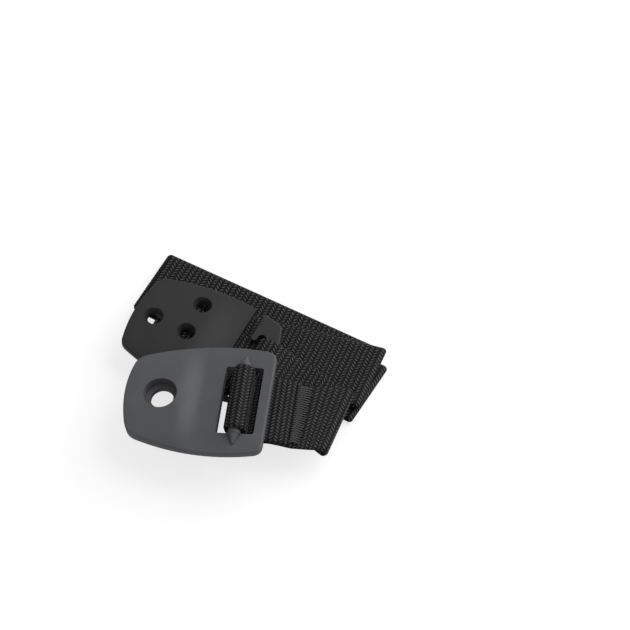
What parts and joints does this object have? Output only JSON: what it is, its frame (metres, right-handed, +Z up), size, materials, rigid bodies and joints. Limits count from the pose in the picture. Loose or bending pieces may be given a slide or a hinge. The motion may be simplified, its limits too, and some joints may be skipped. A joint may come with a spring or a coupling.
{
  "type": "furniture anti-tip strap",
  "caption": "Furniture anti-tip strap: folded webbing that joins a moulded television plate, sewn round its cross bar, to a moulded wall plate with a hooked strap slot.",
  "frame": {"origin": "below the middle of the whole part, on the surface that it lies on", "axes": "+Z up, +X along the television plate from its screw hole to its cross bar, +Y away from the viewer of the picture"},
  "size_m": [0.092, 0.086, 0.0227],
  "materials": {
    "tv_plate": "matt black moulded nylon",
    "wall_plate": "matt black moulded nylon",
    "webbing_strap": "black woven webbing"
  },
  "bodies": {
    "strap": {"webbing_strap": "webbing_strap", "wall_plate": "wall_plate"},
    "television_plate": {"tv_plate": "tv_plate"}
  },
  "joints": [
    {"name": "tv_plate_swing", "type": "hinge", "parent": "strap", "child": "television_plate", "pos_m": [-0.00119, -0.02164, 0.0188], "axis": [0, 1, 0], "range_deg": [0, 8]}
  ]
}
